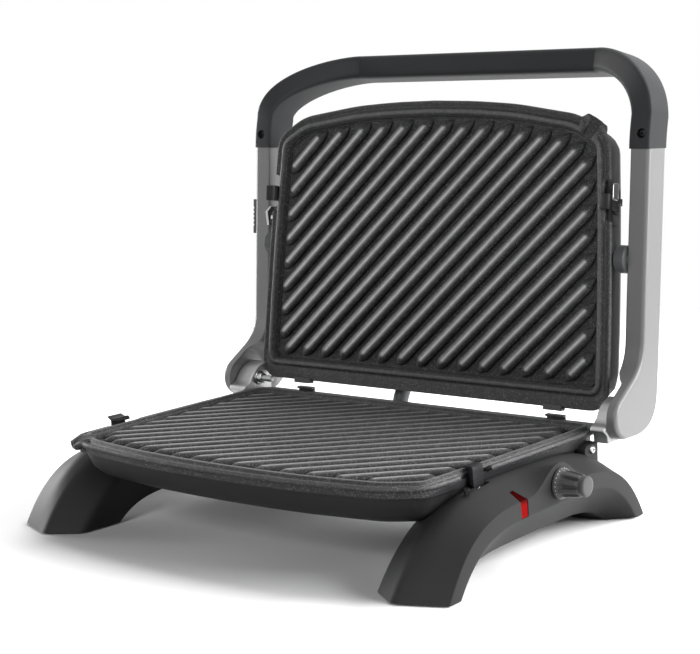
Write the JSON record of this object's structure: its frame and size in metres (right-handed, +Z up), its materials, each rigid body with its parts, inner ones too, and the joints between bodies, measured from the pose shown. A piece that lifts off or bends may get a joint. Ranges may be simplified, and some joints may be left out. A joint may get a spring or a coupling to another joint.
{
  "type": "electric indoor grill with lid",
  "caption": "Countertop contact grill with ribbed plates, a lid tilting between two arms with a U-shaped handle, side-arch base, control knob and pilot window.",
  "frame": {"origin": "on the table, under the middle of the object's bounding box", "axes": "+X to the right across the hinge, +Y to the back, +Z up"},
  "size_m": [0.401, 0.3266, 0.3324],
  "materials": {
    "graphite_plastic": "fine satin texture",
    "nonstick_aluminium": "speckled non-stick coating",
    "soft_black": "satin",
    "rubber_black": "matt",
    "satin_aluminium": "satin",
    "bright_steel": "bright",
    "black_steel": "blackened",
    "heater_steel": "oxidised",
    "ceramic_white": "matt",
    "signal_red": "clear red",
    "lamp_orange": "clear",
    "sheath_grey": "satin"
  },
  "bodies": {
    "base": {"base_pan": "graphite_plastic", "base_deck": "graphite_plastic", "arch_right": "graphite_plastic", "arch_left": "graphite_plastic", "foot_pads": "rubber_black", "lower_plate": "nonstick_aluminium", "lower_reflector": "bright_steel", "lower_heater": "heater_steel", "thermostat": "ceramic_white", "pilot_window": "signal_red", "pilot_lamp": "lamp_orange", "terminal_block": "ceramic_white", "cord_gland": "soft_black", "base_screws": "bright_steel", "latch_spring_lower": "bright_steel", "clip_lower": "soft_black", "latch_screw": "bright_steel", "hinge_bracket_right": "bright_steel", "hinge_bracket_left": "bright_steel", "bracket_screws": "bright_steel", "hinge_bolts": "bright_steel", "stop_sleeves": "bright_steel", "lead_bushings": "soft_black", "lid_lead": "sheath_grey"},
    "arms": {"arm_right": "satin_aluminium", "arm_left": "satin_aluminium", "handle": "soft_black", "handle_screws": "black_steel", "pivot_bosses": "satin_aluminium"},
    "lid": {"lid_deck": "soft_black", "upper_housing": "graphite_plastic", "upper_plate": "nonstick_aluminium", "upper_reflector": "bright_steel", "upper_heater": "heater_steel", "thermal_cutout": "ceramic_white", "latch_spring_upper": "bright_steel", "clip_upper": "soft_black", "lock_pin": "bright_steel"},
    "lock": {"lock_slider": "sheath_grey", "lock_hook": "bright_steel"},
    "knob": {"control_knob": "soft_black", "thermostat_shaft": "bright_steel"},
    "lower_latch": {"latch_lower": "bright_steel"},
    "upper_latch": {"latch_upper": "bright_steel"}
  },
  "joints": [
    {"name": "lid_hinge", "type": "hinge", "parent": "base", "child": "arms", "pos_m": [-0.00815, 0.05517, 0.0745], "axis": [1, 0, 0], "range_deg": [0, 96], "deforming": ["lid_lead"]},
    {"name": "lid_tilt", "type": "hinge", "parent": "arms", "child": "lid", "pos_m": [-0.00815, 0.08698, 0.1814], "axis": [1, 0, 0], "range_deg": [0, 4], "deforming": ["lid_lead"]},
    {"name": "knob_turn", "type": "hinge", "parent": "base", "child": "knob", "pos_m": [-0.00815, -0.03263, 0.048], "axis": [1, 0, 0], "range_deg": [0, 270]},
    {"name": "lock_slide", "type": "slide", "parent": "arms", "child": "lock", "axis": [0, 0.0785, 0.9969], "range_m": [0, 0.007]},
    {"name": "lower_latch_pull", "type": "slide", "parent": "base", "child": "lower_latch", "axis": [1, 0, 0], "range_m": [0, 0.003], "stiffness_N_per_m": 800, "springref_m": -0.002, "deforming": ["latch_spring_lower"]},
    {"name": "upper_latch_pull", "type": "slide", "parent": "lid", "child": "upper_latch", "axis": [1, 0, 0], "range_m": [0, 0.003], "stiffness_N_per_m": 800, "springref_m": -0.002, "deforming": ["latch_spring_upper"]}
  ]
}
